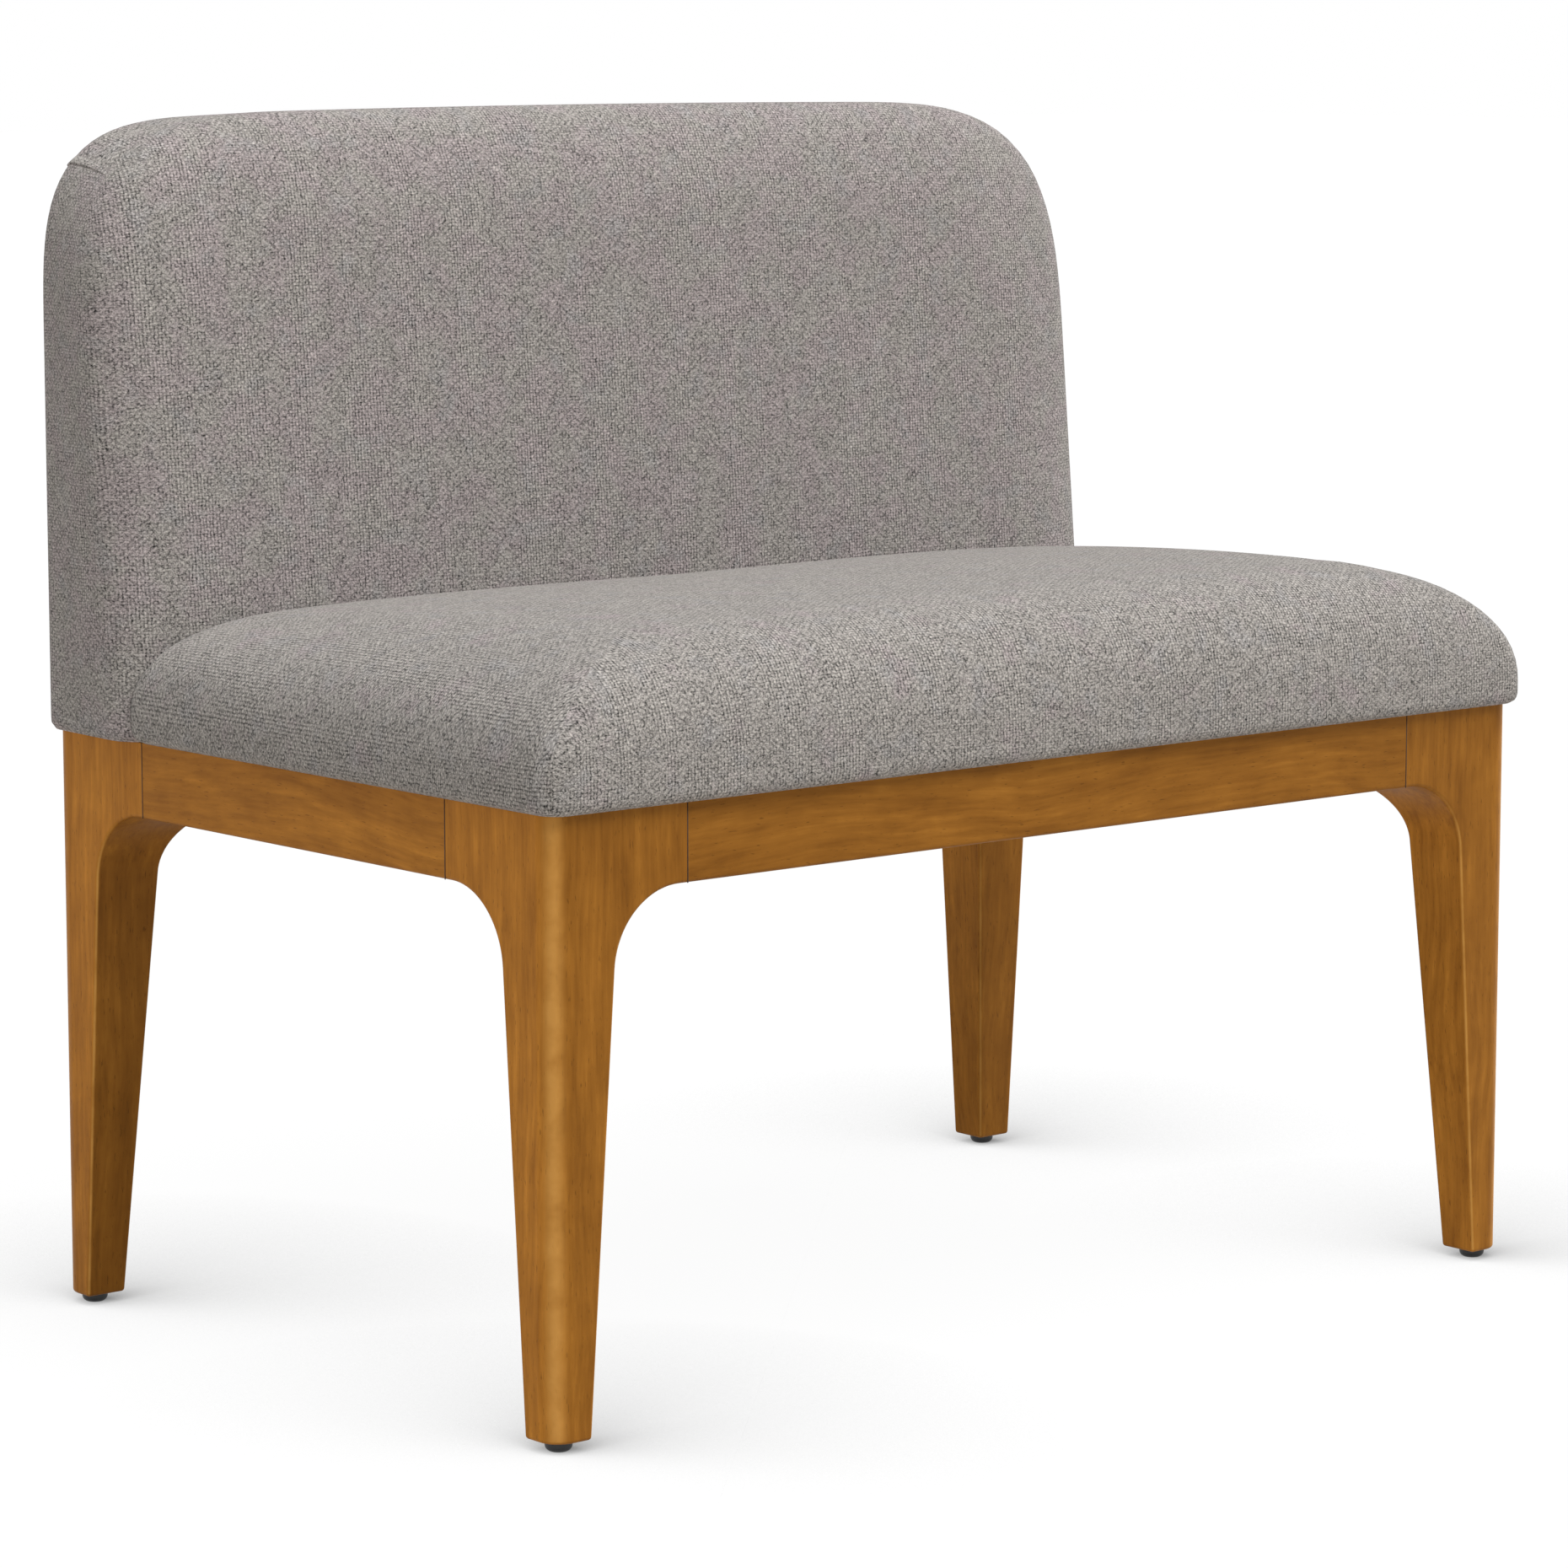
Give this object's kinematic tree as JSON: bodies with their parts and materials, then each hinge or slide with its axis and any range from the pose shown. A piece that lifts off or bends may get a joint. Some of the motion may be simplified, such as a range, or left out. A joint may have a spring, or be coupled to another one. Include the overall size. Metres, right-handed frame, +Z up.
{
  "type": "upholstered banquette",
  "caption": "Armless banquette with a rounded tight seat and a leaning rounded back in grey tweed, on a stained hardwood frame with shaped tapered corner legs and screw-in levelling glides.",
  "frame": {"origin": "on the floor under the middle of the overall box", "axes": "+Z up, the sitter faces -Y, +X to the right as seen from the front"},
  "size_m": [0.896, 0.576, 0.838],
  "materials": {
    "stained_wood": "amber stain under satin lacquer",
    "frame_timber": "planed, unfinished",
    "cover_cloth": "heathered grey plain weave",
    "foam": "open-cell polyurethane foam",
    "wadding": "polyester wadding",
    "webbing": "woven elastic",
    "dust_cloth": "black non-woven cloth",
    "zinc_steel": "zinc plated",
    "glide_plastic": "satin black"
  },
  "bodies": {
    "banquette": {"apron_dowels": "frame_timber", "apron_front": "stained_wood", "apron_left": "stained_wood", "apron_rear": "stained_wood", "apron_right": "stained_wood", "back_base_rail": "frame_timber", "back_bolts": "zinc_steel", "back_corner_left": "frame_timber", "back_corner_right": "frame_timber", "back_cover": "cover_cloth", "back_foam": "foam", "back_frame_dowels": "frame_timber", "back_middle_rail": "frame_timber", "back_post_left": "frame_timber", "back_post_right": "frame_timber", "back_tee_nuts": "zinc_steel", "back_top_rail": "frame_timber", "back_wadding": "wadding", "back_washers": "zinc_steel", "back_webbing": "webbing", "batten_left": "frame_timber", "batten_rear": "frame_timber", "batten_right": "frame_timber", "brace_front_left": "frame_timber", "brace_front_right": "frame_timber", "brace_rear_left": "frame_timber", "brace_rear_right": "frame_timber", "dust_cover": "dust_cloth", "leg_front_left": "stained_wood", "leg_front_right": "stained_wood", "leg_rear_left": "stained_wood", "leg_rear_right": "stained_wood", "leveller_inserts": "zinc_steel", "outside_back": "cover_cloth", "seat_and_back_screws": "zinc_steel", "seat_cover": "cover_cloth", "seat_foam": "foam", "seat_frame_dowels": "frame_timber", "seat_rail_centre": "frame_timber", "seat_rail_front": "frame_timber", "seat_rail_left": "frame_timber", "seat_rail_rear": "frame_timber", "seat_rail_right": "frame_timber", "seat_wadding": "wadding", "seat_webbing_across": "webbing", "seat_webbing_lengthwise": "webbing"},
    "stud_front_left": {"leveller_stud_front_left": "zinc_steel"},
    "glide_front_left": {"glide_front_left": "glide_plastic"},
    "stud_front_right": {"leveller_stud_front_right": "zinc_steel"},
    "glide_front_right": {"glide_front_right": "glide_plastic"},
    "stud_rear_left": {"leveller_stud_rear_left": "zinc_steel"},
    "glide_rear_left": {"glide_rear_left": "glide_plastic"},
    "stud_rear_right": {"leveller_stud_rear_right": "zinc_steel"},
    "glide_rear_right": {"glide_rear_right": "glide_plastic"}
  },
  "joints": [
    {"name": "leveller_travel_front_left", "type": "slide", "parent": "banquette", "child": "stud_front_left", "axis": [0, 0, -1], "range_m": [0, 0.01]},
    {"name": "leveller_turn_front_left", "type": "hinge", "parent": "stud_front_left", "child": "glide_front_left", "pos_m": [-0.4245, -0.2645, 0], "axis": [0, 0, -1], "range_deg": [0, 2880]},
    {"name": "leveller_travel_front_right", "type": "slide", "parent": "banquette", "child": "stud_front_right", "axis": [0, 0, -1], "range_m": [0, 0.01]},
    {"name": "leveller_turn_front_right", "type": "hinge", "parent": "stud_front_right", "child": "glide_front_right", "pos_m": [0.4245, -0.2645, 0], "axis": [0, 0, -1], "range_deg": [0, 2880]},
    {"name": "leveller_travel_rear_left", "type": "slide", "parent": "banquette", "child": "stud_rear_left", "axis": [0, 0, -1], "range_m": [0, 0.01]},
    {"name": "leveller_turn_rear_left", "type": "hinge", "parent": "stud_rear_left", "child": "glide_rear_left", "pos_m": [-0.4245, 0.2705, 0], "axis": [0, 0, -1], "range_deg": [0, 2880]},
    {"name": "leveller_travel_rear_right", "type": "slide", "parent": "banquette", "child": "stud_rear_right", "axis": [0, 0, -1], "range_m": [0, 0.01]},
    {"name": "leveller_turn_rear_right", "type": "hinge", "parent": "stud_rear_right", "child": "glide_rear_right", "pos_m": [0.4245, 0.2705, 0], "axis": [0, 0, -1], "range_deg": [0, 2880]}
  ],
  "couplings": [
    {"joint": "leveller_turn_front_left", "follows": "leveller_travel_front_left", "rad_per_m": 5026.5},
    {"joint": "leveller_turn_front_right", "follows": "leveller_travel_front_right", "rad_per_m": 5026.5},
    {"joint": "leveller_turn_rear_left", "follows": "leveller_travel_rear_left", "rad_per_m": 5026.5},
    {"joint": "leveller_turn_rear_right", "follows": "leveller_travel_rear_right", "rad_per_m": 5026.5}
  ]
}
